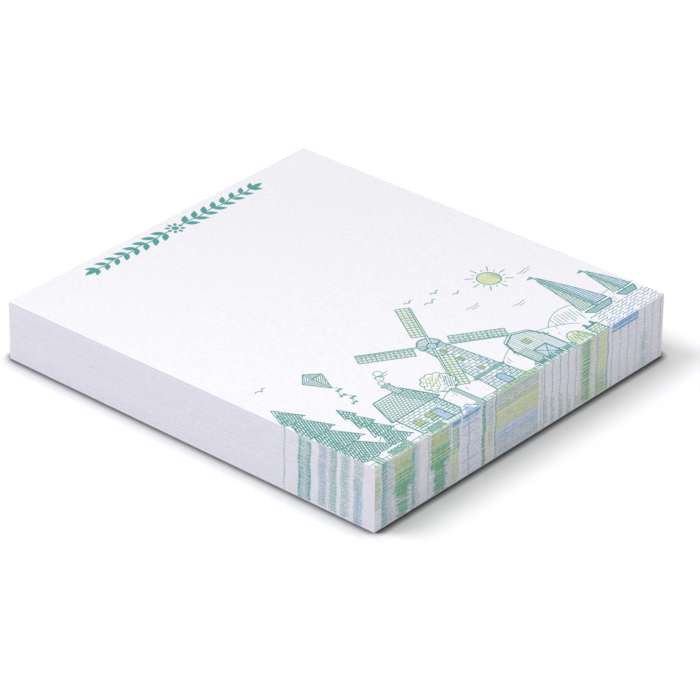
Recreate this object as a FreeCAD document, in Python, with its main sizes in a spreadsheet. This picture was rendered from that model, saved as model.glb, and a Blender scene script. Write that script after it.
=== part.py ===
import FreeCAD, Part
import math
import os
import Sketcher
from FreeCAD import Rotation, Vector

# Sticky note pad, in millimetres.
# One hundred notes lie on a thin backing sheet and stick together along the bound edge (+Y).
# The free edge (-Y) is a little looser, so the stack is thicker there and its top slopes.
# +X runs across the note as one reads it, +Y up the note and +Z up.
# The origin is on the surface that the pad rests on, under the middle of the note.

SIZES = [
    ("note_width", 70.0, "note, across"),
    ("note_length", 76.0, "note, from the free edge to the bound edge"),
    ("note_count", 100, "notes in the stack"),
    ("sheet_thickness", 0.103, "one note at the bound edge"),
    ("free_edge_flare", 0.9, "extra height of the whole stack at the free edge"),
    ("backing_thickness", 0.1, "sheet under the last note"),
    ("edge_line_depth", 0.03, "line between two notes, how far it goes in"),
    ("edge_line_height", 0.03, "line between two notes, its height"),
    ("ink_thickness", 0.03, "print on the paper"),
    ("artwork_width", 70.0, "width that the print is drawn at, fitted to the note's width"),
    ("pen_width", 0.3, "drawn line"),
    ("garland_length", 42.0, "leaf garland across the head of the note"),
    ("garland_margin", 3.2, "bound edge to the garland's stem"),
    ("garland_stem", 0.35, "stem, its width"),
    ("garland_bead", 0.95, "bead in the garland's middle, its radius"),
    ("leaf_pairs", 12, "pairs of leaves on the stem"),
    ("leaf_length", 2.5, "one leaf"),
    ("leaf_width", 0.95, "one leaf"),
    ("leaf_shoulder", 0.45, "share of a leaf's length at which it is widest"),
    ("leaf_lean", 42.0, "degrees between a leaf and the stem"),
    ("ground", 1.0, "height that the buildings stand at, above the free edge"),
    ("big_pine_middle", 2.2, "big pine, from the left edge"),
    ("big_pine_reach", 5.2, "big pine, half the width of its lowest tier"),
    ("big_pine_height", 22.6, "big pine"),
    ("big_pine_trunk", 1.2, "big pine, its trunk's width"),
    ("small_pine_middle", 8.9, "small pine, from the left edge"),
    ("small_pine_reach", 2.7, "small pine, half the width of its lowest tier"),
    ("small_pine_height", 15.4, "small pine"),
    ("small_pine_trunk", 0.7, "small pine, its trunk's width"),
    ("pine_tiers", 4, "tiers of branches on a pine"),
    ("pine_gap", 0.45, "clear space under each tier"),
    ("pine_taper", 0.3, "a tier's top, as a share of its foot"),
    ("cottage_left", 12.4, "cottage wall, from the left edge"),
    ("cottage_width", 9.4, "cottage wall"),
    ("cottage_wall", 5.6, "cottage wall, its height"),
    ("cottage_eaves", 0.8, "roof beyond the wall, each side"),
    ("cottage_roof", 5.8, "roof, its height"),
    ("cottage_hip", 2.3, "roof's end, how far it slants inwards"),
    ("cottage_tiles", 6, "rows of tiles"),
    ("door_width", 1.7, "cottage door"),
    ("door_height", 3.4, "cottage door"),
    ("window_size", 1.5, "cottage window"),
    ("chimney_width", 1.2, "chimney"),
    ("chimney_height", 2.0, "chimney above the ridge"),
    ("round_tree_middle", 25.4, "round tree, from the left edge"),
    ("round_tree_radius", 2.9, "round tree, its crown"),
    ("round_tree_height", 12.0, "round tree"),
    ("round_tree_trunk", 0.9, "round tree, its trunk's width"),
    ("mill_middle", 33.2, "windmill, from the left edge"),
    ("mill_foot", 3.5, "tower, half its width at the foot"),
    ("mill_neck", 1.9, "tower, half its width at the top"),
    ("mill_tower", 16.0, "tower, its height"),
    ("mill_courses", 7, "rows of stones in the tower"),
    ("mill_cap", 2.6, "pointed cap on the tower, its height"),
    ("mill_hub", 0.8, "hub of the sails, its radius"),
    ("mill_sails", 4, "sails"),
    ("sail_length", 12.4, "sail, from the hub's middle"),
    ("sail_width", 2.3, "sail"),
    ("sail_root", 3.2, "hub's middle to the start of the sail's lattice"),
    ("sail_bars", 7, "bars in a sail's lattice"),
    ("sail_turn", 33.0, "degrees that the first sail leans from upright"),
    ("barn_left", 40.2, "barn, from the left edge"),
    ("barn_width", 7.6, "barn"),
    ("barn_wall", 5.0, "barn, its wall's height"),
    ("barn_roof", 4.0, "barn, its roof's height"),
    ("barn_planks", 5, "planks on the barn's front"),
    ("haystack_middle", 50.4, "haystack, from the left edge"),
    ("haystack_radius", 1.9, "haystack"),
    ("quay_left", 53.2, "quay wall, from the left edge"),
    ("quay_width", 2.6, "quay wall"),
    ("quay_height", 2.6, "quay wall"),
    ("big_boat_middle", 60.2, "big sailing boat, from the left edge"),
    ("big_boat_length", 6.6, "big sailing boat"),
    ("big_boat_mast", 13.2, "big sailing boat, its mast's height above the hull"),
    ("small_boat_middle", 67.2, "small sailing boat, from the left edge"),
    ("small_boat_length", 4.4, "small sailing boat"),
    ("small_boat_mast", 8.6, "small sailing boat, its mast's height above the hull"),
    ("boat_hull", 1.3, "hull, its height"),
    ("wave_length", 3.4, "waves, from crest to crest"),
    ("wave_height", 0.5, "waves, from trough to crest"),
    ("wave_rows", 3, "rows of waves"),
    ("wave_pitch", 1.15, "one row of waves to the next"),
    ("water_mark_foot", 0.88, "share of the stack's height from which the notes show open water"),
    ("sun_middle", 55.6, "sun, from the left edge"),
    ("sun_height", 24.0, "sun, above the free edge"),
    ("sun_radius", 2.0, "sun"),
    ("sun_reach", 3.9, "sun, its rays' tips"),
    ("sun_rays", 12, "rays"),
    ("kite_middle", 13.4, "kite, from the left edge"),
    ("kite_height", 26.2, "kite, above the free edge"),
    ("kite_span", 4.4, "kite, across"),
    ("kite_drop", 6.0, "kite, from top to bottom"),
    ("hedge_left", 4.6, "first hedge, from the left edge"),
    ("hedge_width", 3.8, "hedges"),
    ("hedge_height", 1.7, "hedges"),
    ("second_hedge_left", 13.2, "second hedge, from the left edge"),
    ("hedge_mark_foot", 0.5, "share of the stack's height from which the notes show a hedge's ends"),
    ("meadow_left", 28.2, "meadow, from the left edge"),
    ("meadow_width", 10.4, "meadow"),
    ("meadow_green_foot", 0.78, "share of the stack's height from which the meadow is green"),
    ("meadow_yellow_top", 0.72, "share of the stack's height up to which it is yellow"),
    ("meadow_yellow_foot", 0.44, "share of the stack's height from which it is yellow"),
    ("meadow_blue_top", 0.38, "share of the stack's height up to which it is blue"),
    ("fence_left", 40.0, "fence, from the left edge"),
    ("fence_posts", 5, "fence posts"),
    ("fence_pitch", 1.95, "one post to the next"),
    ("fence_height", 2.0, "fence"),
    ("edge_bundles", 9, "bundles of notes that show in the print on the stack's sides"),
    ("edge_wander", 0.14, "how far the print's ends wander from bundle to bundle"),
]

doc = FreeCAD.newDocument("sticky_note_pad")
sheet = doc.addObject("Spreadsheet::Sheet", "sizes")
for row, (alias, value, meaning) in enumerate(SIZES, 1):
    sheet.set(f"A{row}", alias)
    sheet.set(f"B{row}", str(value))
    sheet.setAlias(f"B{row}", alias)
    sheet.set(f"C{row}", meaning)
doc.recompute()


def size(alias):
    return float(sheet.get(alias))


def count(alias):
    return int(round(size(alias)))


BOUND_HEIGHT = "(sizes.note_count * sizes.sheet_thickness)"
FREE_HEIGHT = f"({BOUND_HEIGHT} + sizes.free_edge_flare)"
TOP_SLOPE = "atan(sizes.free_edge_flare / sizes.note_length)"


def origin_plane(body, role):
    return next(feature for feature in body.Origin.OriginFeatures if feature.Role == role)


def new_sketch(body, name, role):
    sketch = body.newObject("Sketcher::SketchObject", name)
    sketch.AttachmentSupport = [(origin_plane(body, role), "")]
    sketch.MapMode = "FlatFace"
    return sketch


def add_corners(sketch, corners):
    """Draws a closed outline of straight lines and returns the number of its first line."""
    first = sketch.GeometryCount
    for here, there in zip(corners, corners[1:] + corners[:1]):
        sketch.addGeometry(Part.LineSegment(Vector(*here, 0), Vector(*there, 0)), False)
    for side in range(len(corners)):
        following = first + (side + 1) % len(corners)
        sketch.addConstraint(Sketcher.Constraint("Coincident", first + side, 2, following, 1))
    return first


def bind(sketch, constraint, expression):
    number = sketch.addConstraint(constraint)
    sketch.setExpression(f"Constraints[{number}]", expression)


def add_centred_rectangle(sketch, width, length, width_expression, length_expression):
    """Draws a rectangle about the sketch's origin, with both sides bound to the sizes."""
    x, y = width / 2, length / 2
    first = add_corners(sketch, [(-x, -y), (x, -y), (x, y), (-x, y)])
    for level_side in (first, first + 2):
        sketch.addConstraint(Sketcher.Constraint("Horizontal", level_side))
    for upright_side in (first + 1, first + 3):
        sketch.addConstraint(Sketcher.Constraint("Vertical", upright_side))
    sketch.addConstraint(Sketcher.Constraint("Symmetric", first, 1, first + 1, 2, -1, 1))
    bind(sketch, Sketcher.Constraint("DistanceX", first, 1, first, 2, width), width_expression)
    bind(sketch, Sketcher.Constraint("DistanceY", first + 1, 1, first + 1, 2, length), length_expression)


def make_backing_sheet():
    body = doc.addObject("PartDesign::Body", "backing_sheet")
    outline = new_sketch(body, "backing_outline", "XY_Plane")
    add_centred_rectangle(
        outline, size("note_width"), size("note_length"), "sizes.note_width", "sizes.note_length"
    )
    pad = body.newObject("PartDesign::Pad", "backing_pad")
    pad.Profile = outline
    pad.setExpression("Length", "sizes.backing_thickness")
    doc.recompute()
    return body


def make_note_block():
    """The notes: a wedge seen from the side, with a fine line round it between each two notes."""
    body = doc.addObject("PartDesign::Body", "note_block")
    half = size("note_length") / 2
    low = size("backing_thickness")
    bound_top = low + count("note_count") * size("sheet_thickness")
    free_top = bound_top + size("free_edge_flare")

    profile = new_sketch(body, "stack_profile", "YZ_Plane")
    add_corners(profile, [(-half, low), (half, low), (half, bound_top), (-half, free_top)])
    profile.addConstraint(Sketcher.Constraint("Horizontal", 0))
    profile.addConstraint(Sketcher.Constraint("Vertical", 1))
    profile.addConstraint(Sketcher.Constraint("Vertical", 3))
    bind(profile, Sketcher.Constraint("DistanceX", 0, 1, 0, 2, 2 * half), "sizes.note_length")
    bind(profile, Sketcher.Constraint("DistanceX", -1, 1, 0, 2, half), "sizes.note_length / 2")
    bind(profile, Sketcher.Constraint("DistanceY", -1, 1, 0, 2, low), "sizes.backing_thickness")
    bind(profile, Sketcher.Constraint("DistanceY", 1, 1, 1, 2, bound_top - low), BOUND_HEIGHT)
    bind(profile, Sketcher.Constraint("DistanceY", 3, 2, 3, 1, free_top - low), FREE_HEIGHT)
    stack = body.newObject("PartDesign::Pad", "stack")
    stack.Profile = profile
    stack.SideType = "Symmetric"
    stack.setExpression("Length", "sizes.note_width")
    doc.recompute()

    line = new_sketch(body, "line_outline", "XY_Plane")
    line.setExpression("AttachmentOffset.Base.z", "sizes.backing_thickness")
    depth = size("edge_line_depth")
    for outwards, words in ((depth, "+"), (-depth, "-")):
        add_centred_rectangle(
            line,
            size("note_width") + 2 * outwards,
            size("note_length") + 2 * outwards,
            f"sizes.note_width {words} 2 * sizes.edge_line_depth",
            f"sizes.note_length {words} 2 * sizes.edge_line_depth",
        )
    lowest_line = body.newObject("PartDesign::Pocket", "lowest_line")
    lowest_line.Profile = line
    lowest_line.Reversed = True
    lowest_line.setExpression("Length", "sizes.edge_line_height")

    # All the notes' planes meet in one line far beyond the bound edge, so the lines turn about it.
    fan_axis = new_sketch(body, "fan_axis", "YZ_Plane")
    beyond = f"{BOUND_HEIGHT} * sizes.note_length / sizes.free_edge_flare"
    fan_axis.setExpression("AttachmentOffset.Base.x", f"sizes.note_length / 2 + {beyond}")
    fan_axis.setExpression("AttachmentOffset.Base.y", "sizes.backing_thickness")
    doc.recompute()
    lines = body.newObject("PartDesign::PolarPattern", "edge_lines")
    lines.Originals = [lowest_line]
    lines.Axis = (fan_axis, ["N_Axis"])
    lines.Reversed = True
    lines.setExpression("Occurrences", "sizes.note_count")
    lines.setExpression("Angle", f"{TOP_SLOPE} * (sizes.note_count - 1) / sizes.note_count")
    body.Tip = lines
    doc.recompute()
    if body.Shape.Volume >= stack.Shape.Volume:
        raise RuntimeError("the lines between the notes cut nothing")
    return body


# Drawing. A place in the print is (u, v): u from the note's left edge, v up from its free edge.
# The print is drawn flat at artwork_width and scaled to the note's width.

print_scale = size("note_width") / size("artwork_width")
artwork_length = size("note_length") / print_scale
pen = size("pen_width")
ground = size("ground")
drawn = {"teal": [], "green": [], "yellow": [], "blue": []}
edge_marks = {"front": [], "left": [], "right": []}


def spot(u, v):
    return Vector((u - size("artwork_width") / 2) * print_scale, v * print_scale, 0)


def block(left, low, right, high):
    """Corners of an upright rectangle."""
    return [(left, low), (right, low), (right, high), (left, high)]


def filled(ink, places):
    """A filled shape with straight sides."""
    corners = [spot(u, v) for u, v in places]
    drawn[ink].append(Part.Face(Part.makePolygon(corners + corners[:1])))


def stroke(ink, start, end, width=pen):
    """A straight pen line."""
    (u0, v0), (u1, v1) = start, end
    length = math.hypot(u1 - u0, v1 - v0)
    du, dv = (v0 - v1) / length * width / 2, (u1 - u0) / length * width / 2
    filled(ink, [(u0 + du, v0 + dv), (u0 - du, v0 - dv), (u1 - du, v1 - dv), (u1 + du, v1 + dv)])


def outline(ink, places, width=pen):
    """Pen lines round a closed shape."""
    for start, end in zip(places, places[1:] + places[:1]):
        stroke(ink, start, end, width)


def disc(ink, u, v, radius):
    circle = Part.makeCircle(radius * print_scale, spot(u, v))
    drawn[ink].append(Part.Face(Part.Wire(circle)))


def ribbon(ink, places, width=pen):
    """A pen line that goes from left to right through many places."""
    above = [(u, v + width / 2) for u, v in places]
    below = [(u, v - width / 2) for u, v in reversed(places)]
    filled(ink, above + below)


def leaf(ink, u, v, angle):
    """A pointed leaf with two shoulders, which starts at (u, v) and points along angle."""
    along = (math.cos(angle), math.sin(angle))
    half, length = size("leaf_width") / 2, size("leaf_length")
    shoulder = length * size("leaf_shoulder")
    filled(ink, [
        (u, v),
        (u + along[0] * shoulder + along[1] * half, v + along[1] * shoulder - along[0] * half),
        (u + along[0] * length, v + along[1] * length),
        (u + along[0] * shoulder - along[1] * half, v + along[1] * shoulder + along[0] * half),
    ])


def mark(side, ink, start, end, low=0.0, high=1.0):
    """Print that reaches a side of the note, from start to end along it.
    low and high are the shares of the stack's height between which the notes show it."""
    edge_marks[side].append((ink, start, end, low, high))


def draw_garland():
    """Head of the note: pairs of leaves along a stem, growing from a bead in the middle."""
    middle = size("artwork_width") / 2
    stem_height = artwork_length - size("garland_margin")
    half = size("garland_length") / 2
    lean = math.radians(size("leaf_lean"))
    pairs_each_way = count("leaf_pairs") // 2
    first = size("garland_bead") * 2
    last = half - size("leaf_length") * math.cos(lean)
    disc("teal", middle, stem_height, size("garland_bead"))
    for way in (-1, 1):
        stem_end = middle + way * half
        stroke("teal", (middle, stem_height), (stem_end, stem_height), size("garland_stem"))
        for pair in range(pairs_each_way):
            foot = middle + way * (first + (last - first) * pair / max(pairs_each_way - 1, 1))
            for side in (-1, 1):
                angle = lean * side if way > 0 else math.pi - lean * side
                leaf("teal", foot, stem_height, angle)


def draw_pine(middle, reach, height, trunk):
    """Tiers of branches over a trunk. Where a tier crosses the note's left edge, it marks that side."""
    tiers = count("pine_tiers")
    foot = 2 * ground
    filled("green", block(middle - trunk / 2, 0, middle + trunk / 2, foot))
    tier_height = (height - foot) / tiers
    taper = size("pine_taper")
    for tier in range(tiers):
        base = foot + tier * tier_height
        top = base + tier_height - size("pine_gap")
        wide = reach * (tiers - tier * (1 - taper)) / tiers
        narrow = wide * taper
        if tier == tiers - 1:
            top = height
            narrow = pen / 2
        filled("teal", [
            (middle - wide, base), (middle + wide, base),
            (middle + narrow, top), (middle - narrow, top),
        ])
        if wide > middle > narrow:
            crossing = base + (top - base) * (wide - middle) / (wide - narrow)
            mark("left", "teal", base, crossing)
    mark("front", "green", middle - trunk / 2, middle + trunk / 2)


def draw_cottage():
    left, width, wall = size("cottage_left"), size("cottage_width"), size("cottage_wall")
    right, eaves_height = left + width, ground + wall
    ridge = eaves_height + size("cottage_roof")
    eaves_left, eaves_right = left - size("cottage_eaves"), right + size("cottage_eaves")
    hip = size("cottage_hip")
    outline("teal", block(left, ground, right, eaves_height))
    outline("teal", [
        (eaves_left, eaves_height), (eaves_right, eaves_height),
        (eaves_right - hip, ridge), (eaves_left + hip, ridge),
    ])
    tiles = count("cottage_tiles")
    for row in range(1, tiles):
        share = row / tiles
        height = eaves_height + size("cottage_roof") * share
        inset = hip * share + pen * 2
        stroke("green", (eaves_left + inset, height), (eaves_right - inset, height))
    door_middle = left + width * 2 / 3
    door_left = door_middle - size("door_width") / 2
    door_right = door_left + size("door_width")
    filled("blue", block(door_left, ground + pen, door_right, ground + size("door_height")))
    filled("yellow", block(door_left, 0, door_right, ground - pen))
    mark("front", "yellow", door_left, door_right)
    window = size("window_size")
    sill = ground + size("door_height") - window
    for window_left in (left + window, left + 3 * window):
        filled("yellow", block(window_left, sill, window_left + window, sill + window))
    chimney_right = eaves_right - hip - pen
    chimney_left = chimney_right - size("chimney_width")
    chimney_top = ridge + size("chimney_height")
    outline("teal", block(chimney_left, ridge, chimney_right, chimney_top))


def draw_round_tree():
    middle, radius = size("round_tree_middle"), size("round_tree_radius")
    half_trunk = size("round_tree_trunk") / 2
    crown = size("round_tree_height") - radius
    filled("teal", block(middle - half_trunk, 0, middle + half_trunk, crown - radius))
    disc("green", middle, crown, radius)
    mark("front", "teal", middle - half_trunk, middle + half_trunk)


def draw_windmill():
    """Tower of stones with a pointed cap, and lattice sails about a hub at its top."""
    middle, foot, neck = size("mill_middle"), size("mill_foot"), size("mill_neck")
    top = ground + size("mill_tower")
    outline("teal", [
        (middle - foot, ground), (middle + foot, ground), (middle + neck, top), (middle - neck, top),
    ])
    courses = count("mill_courses")
    for course in range(1, courses):
        share = course / courses
        half = foot + (neck - foot) * share - pen * 2
        height = ground + size("mill_tower") * share
        stroke("blue", (middle - half, height), (middle + half, height))
    filled("teal", [(middle - neck, top), (middle + neck, top), (middle, top + size("mill_cap"))])
    disc("teal", middle, top, size("mill_hub"))
    turn = 360 / count("mill_sails")
    for sail in range(count("mill_sails")):
        draw_sail(middle, top, math.radians(90 - size("sail_turn") - turn * sail))


def draw_sail(hub_u, hub_v, angle):
    """An arm that points along angle, with a lattice at its side."""
    along_u, along_v = math.cos(angle), math.sin(angle)
    root, tip, width = size("sail_root"), size("sail_length"), size("sail_width")

    def on_sail(out, side):
        return (hub_u + along_u * out - along_v * side, hub_v + along_v * out + along_u * side)

    stroke("teal", (hub_u, hub_v), on_sail(tip, 0))
    stroke("teal", on_sail(root, width), on_sail(tip, width))
    bars = count("sail_bars")
    for bar in range(bars):
        out = root + (tip - root) * bar / (bars - 1)
        stroke("teal", on_sail(out, 0), on_sail(out, width))


def draw_barn():
    """Barn with a roof that bends half way up, and planks on its front."""
    left, width = size("barn_left"), size("barn_width")
    right, middle = left + width, left + width / 2
    eaves = ground + size("barn_wall")
    ridge = eaves + size("barn_roof")
    bend_height = (eaves + 2 * ridge) / 3
    bend_inset = width / 8
    outline("teal", [
        (left, ground), (right, ground), (right, eaves), (right - bend_inset, bend_height),
        (middle, ridge), (left + bend_inset, bend_height), (left, eaves),
    ])
    planks = count("barn_planks")
    for plank in range(planks):
        place = left + width * (plank + 1) / (planks + 1)
        stroke("blue" if plank % 2 else "green", (place, ground + pen), (place, eaves - pen))


def draw_haystack():
    middle, radius = size("haystack_middle"), size("haystack_radius")
    disc("yellow", middle, radius, radius)
    filled("green", [(middle - radius / 2, 0), (middle + radius / 2, 0), (middle, radius * 2)])
    mark("front", "yellow", middle - radius, middle - radius / 2 - pen)
    mark("front", "green", middle - radius / 2, middle + radius / 2)


def draw_quay():
    left, top = size("quay_left"), size("quay_height")
    right = left + size("quay_width")
    outline("teal", block(left, 0, right, top))
    filled("yellow", block(left + pen, 0, right - pen, top - pen))
    mark("front", "yellow", left, right)


def draw_boat(middle, length, mast):
    """Hull, mast and two sails."""
    water = ground + count("wave_rows") * size("wave_pitch")
    deck = water + size("boat_hull")
    half = length / 2
    peak = deck + mast
    boom = deck + pen * 2
    full_sail_end = middle + half * 3 / 4
    open_sail_end = middle - half * 2 / 3
    filled("teal", [
        (middle - half / 2, water), (middle + half / 2, water),
        (middle + half, deck), (middle - half, deck),
    ])
    stroke("teal", (middle, deck), (middle, peak))
    filled("blue", [(middle + pen, boom), (full_sail_end, boom), (middle + pen, peak - pen)])
    outline("teal", [(middle - pen, boom), (open_sail_end, boom), (middle - pen, peak - 2 * pen)])


def draw_water():
    """Rows of waves from the quay to the right edge."""
    start = size("quay_left") + size("quay_width") + 2 * pen
    end = size("artwork_width") + pen
    steps_per_wave = 4
    step = size("wave_length") / steps_per_wave
    steps = int((end - start) / step)
    for row in range(count("wave_rows")):
        height = pen + size("wave_pitch") * row
        shift = row / 2
        places = []
        for number in range(steps + 2):
            u = start + number * step
            swing = math.sin(2 * math.pi * (number / steps_per_wave + shift))
            places.append((u, height + size("wave_height") / 2 * (1 + swing)))
        ribbon("blue", places)
        mark("right", "blue", height, height + size("wave_height") + pen)
    for number in range(0, steps, steps_per_wave):
        u = start + number * step
        mark("front", "blue", u, u + pen)
    mark("front", "blue", start + 2 * pen, start + size("big_boat_length"), size("water_mark_foot"))


def draw_sun():
    middle, height, reach = size("sun_middle"), size("sun_height"), size("sun_reach")
    disc("yellow", middle, height, size("sun_radius"))
    for ray in range(count("sun_rays")):
        angle = 2 * math.pi * ray / count("sun_rays")
        along = (math.cos(angle), math.sin(angle))
        inner = size("sun_radius") + 2 * pen
        stroke("green", (middle + along[0] * inner, height + along[1] * inner),
               (middle + along[0] * reach, height + along[1] * reach))


def draw_kite():
    middle, height = size("kite_middle"), size("kite_height")
    half, drop = size("kite_span") / 2, size("kite_drop")
    shoulder = height - drop / 3
    foot = height - drop
    outline("teal", [
        (middle, height), (middle + half, shoulder), (middle, foot), (middle - half, shoulder),
    ])
    inner = pen * 2
    for ink, way in (("green", 1), ("blue", -1)):
        filled(ink, [
            (middle + way * pen, height - inner * 2),
            (middle + way * (half - inner), shoulder),
            (middle + way * pen, foot + inner * 3),
        ])
    string_end = (middle - half, foot - drop / 2)
    stroke("teal", (middle, foot), string_end)


def draw_hedge(left):
    """A row of leaves low on the note, cut at the free edge. Lower notes show less of it."""
    right, top = left + size("hedge_width"), size("hedge_height")
    filled("green", [(left, 0), (right, 0), (right - pen, top), (left + pen, top)])
    quarter = size("hedge_width") / 4
    mark("front", "yellow", left, left + quarter - pen, size("hedge_mark_foot"))
    mark("front", "yellow", right - quarter + pen, right, size("hedge_mark_foot"))
    mark("front", "green", left + quarter, right - quarter)


def draw_meadow():
    """A strip of grass whose colour changes down the stack."""
    left = size("meadow_left")
    right = left + size("meadow_width")
    filled("green", block(left, 0, right, ground - 2 * pen))
    mark("front", "green", left, right, size("meadow_green_foot"))
    mark("front", "yellow", left, right, size("meadow_yellow_foot"), size("meadow_yellow_top"))
    mark("front", "blue", left, right, 0.0, size("meadow_blue_top"))


def draw_fence():
    first, top = size("fence_left"), size("fence_height")
    posts = count("fence_posts")
    for post in range(posts):
        place = first + post * size("fence_pitch")
        stroke("teal", (place, 0), (place, top))
        mark("front", "teal", place - pen / 2, place + pen / 2)
    last = first + (posts - 1) * size("fence_pitch")
    rail = top * 2 / 3
    stroke("teal", (first, rail), (last, rail))


def draw_note():
    draw_garland()
    for pine in ("big_pine", "small_pine"):
        middle, reach = size(f"{pine}_middle"), size(f"{pine}_reach")
        draw_pine(middle, reach, size(f"{pine}_height"), size(f"{pine}_trunk"))
    draw_hedge(size("hedge_left"))
    draw_cottage()
    draw_hedge(size("second_hedge_left"))
    draw_round_tree()
    draw_meadow()
    draw_windmill()
    draw_barn()
    draw_fence()
    draw_haystack()
    draw_quay()
    draw_water()
    for boat in ("big_boat", "small_boat"):
        draw_boat(size(f"{boat}_middle"), size(f"{boat}_length"), size(f"{boat}_mast"))
    draw_sun()
    draw_kite()


def merged(faces):
    """One face for each patch of ink: shapes that touch or overlap flow together."""
    if len(faces) == 1:
        return faces[0]
    joined = Part.makeCompound(faces[0].multiFuse(faces[1:]).Faces)
    joined.sewShape()
    patches = []
    for patch in joined.SubShapes:
        patches += patch.removeSplitter().Faces
    return Part.makeCompound(patches)


def add_print(name, drawing, direction):
    """Gives a flat drawing the ink's thickness."""
    flat = doc.addObject("Part::Feature", f"{name}_drawing")
    flat.Shape = drawing
    ink = doc.addObject("Part::Extrusion", name)
    ink.Base = flat
    ink.DirMode = "Custom"
    ink.Dir = direction
    ink.Solid = True
    ink.setExpression("LengthFwd", "sizes.ink_thickness")
    return ink


def make_top_prints():
    """Each ink on the uppermost note, cut back where a darker one is printed too."""
    corners = [spot(u, v) for u, v in block(0, 0, size("artwork_width"), artwork_length)]
    paper = Part.Face(Part.makePolygon(corners + corners[:1]))
    prints = []
    over = None
    for ink in ("teal", "green", "yellow", "blue"):
        drawing = merged(drawn[ink]).common(paper)
        shown = drawing.cut(over) if over else drawing
        over = over.fuse(drawing) if over else drawing
        layer = add_print(f"top_print_{ink}", shown, Vector(0, 0, 1))
        layer.Placement.Rotation = Rotation(Vector(-1, 0, 0), 1)
        layer.setExpression("Placement.Rotation.Angle", TOP_SLOPE)
        layer.setExpression("Placement.Base.y", "-sizes.note_length / 2")
        layer.setExpression("Placement.Base.z", f"sizes.backing_thickness + {FREE_HEIGHT}")
        prints.append(layer)
    return prints


def level(y, share):
    """Height of a share of the stack, at y."""
    fallen = (y + size("note_length") / 2) / size("note_length")
    bound = count("note_count") * size("sheet_thickness")
    return size("backing_thickness") + share * (bound + size("free_edge_flare") * (1 - fallen))


def streak(side, number, start, end, low, high):
    """The print on the notes' edges: a band whose ends wander a little at each bundle of notes."""
    half_width, half_length = size("note_width") / 2, size("note_length") / 2
    bundles = max(1, round((high - low) * count("edge_bundles")))
    wander = min(size("edge_wander"), (end - start) * print_scale / 4)
    start_swing, end_swing = 2.4, 1.7  # radians from one bundle to the next

    def place(along, share):
        if side == "front":
            x = min(max(along, 0), 2 * half_width) - half_width
            return Vector(x, -half_length, level(-half_length, share))
        y = max(along, 0) - half_length
        return Vector(half_width if side == "right" else -half_width, y, level(y, share))

    rising, falling = [], []
    for bundle in range(bundles):
        first = wander * math.sin(start_swing * bundle + number)
        last = wander * math.sin(end_swing * bundle + 2 * number)
        for share in (bundle / bundles, (bundle + 1) / bundles):
            height = low + (high - low) * share
            rising.append(place(end * print_scale + last, height))
            falling.append(place(start * print_scale + first, height))
    corners = rising + falling[::-1]
    return Part.Face(Part.makePolygon(corners + corners[:1]))


def make_side_prints():
    """Each ink on each side of the stack that the print runs off."""
    outwards = {"front": Vector(0, -1, 0), "left": Vector(-1, 0, 0), "right": Vector(1, 0, 0)}
    prints = []
    for side, marks in edge_marks.items():
        for ink in drawn:
            streaks = [
                streak(side, number, start, end, low, high)
                for number, (mark_ink, start, end, low, high) in enumerate(marks)
                if mark_ink == ink
            ]
            if streaks:
                prints.append(add_print(f"{side}_print_{ink}", Part.makeCompound(streaks), outwards[side]))
    return prints


draw_note()
sub_parts = [make_backing_sheet(), make_note_block()] + make_top_prints() + make_side_prints()
doc.recompute()

for thing in doc.Objects:
    if "Invalid" in thing.State or "Error" in thing.State:
        raise RuntimeError(f"{thing.Name} failed: {thing.State}")
for part in sub_parts:
    if part.Shape.isNull() or not part.Shape.isValid() or not part.Shape.Solids:
        raise RuntimeError(f"{part.Label} has no sound solid")

os.makedirs("parts", exist_ok=True)
for part in sub_parts:
    part.Shape.exportStep(f"parts/{part.Label}.step")
    print(part.Label, len(part.Shape.Solids), round(part.Shape.Volume, 3))
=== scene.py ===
import math
import random

import bpy
from mathutils import Matrix, Vector


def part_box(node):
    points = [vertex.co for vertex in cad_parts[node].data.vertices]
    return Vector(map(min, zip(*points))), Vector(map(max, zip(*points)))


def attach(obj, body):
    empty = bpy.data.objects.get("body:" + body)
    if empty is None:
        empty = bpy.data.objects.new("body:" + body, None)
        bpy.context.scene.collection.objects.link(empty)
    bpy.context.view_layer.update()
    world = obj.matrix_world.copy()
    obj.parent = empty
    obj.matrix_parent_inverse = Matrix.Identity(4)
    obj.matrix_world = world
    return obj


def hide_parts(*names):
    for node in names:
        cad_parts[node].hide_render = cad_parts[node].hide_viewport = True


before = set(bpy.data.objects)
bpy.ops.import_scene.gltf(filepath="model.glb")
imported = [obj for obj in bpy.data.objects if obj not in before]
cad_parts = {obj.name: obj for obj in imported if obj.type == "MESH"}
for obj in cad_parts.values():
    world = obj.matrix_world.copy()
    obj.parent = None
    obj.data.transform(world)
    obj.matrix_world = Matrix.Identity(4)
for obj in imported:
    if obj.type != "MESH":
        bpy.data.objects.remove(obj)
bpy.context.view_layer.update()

# Looks of the sticky note pad. The artwork is drawn in millimetres on a flat sheet:
# u runs from the note's left edge and v up from its free edge. The rest is in metres.

MM = 0.001

# Camera of the photograph
CAMERA_PLACE = Vector((-0.45033, -0.38824, 0.35110))
CAMERA_HEADING = math.radians(40.558)
CAMERA_TILT = math.radians(30.466)
CAMERA_ROLL = math.radians(0.813)
CAMERA_LENS = 223.83
CAMERA_SENSOR = 36.0

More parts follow.
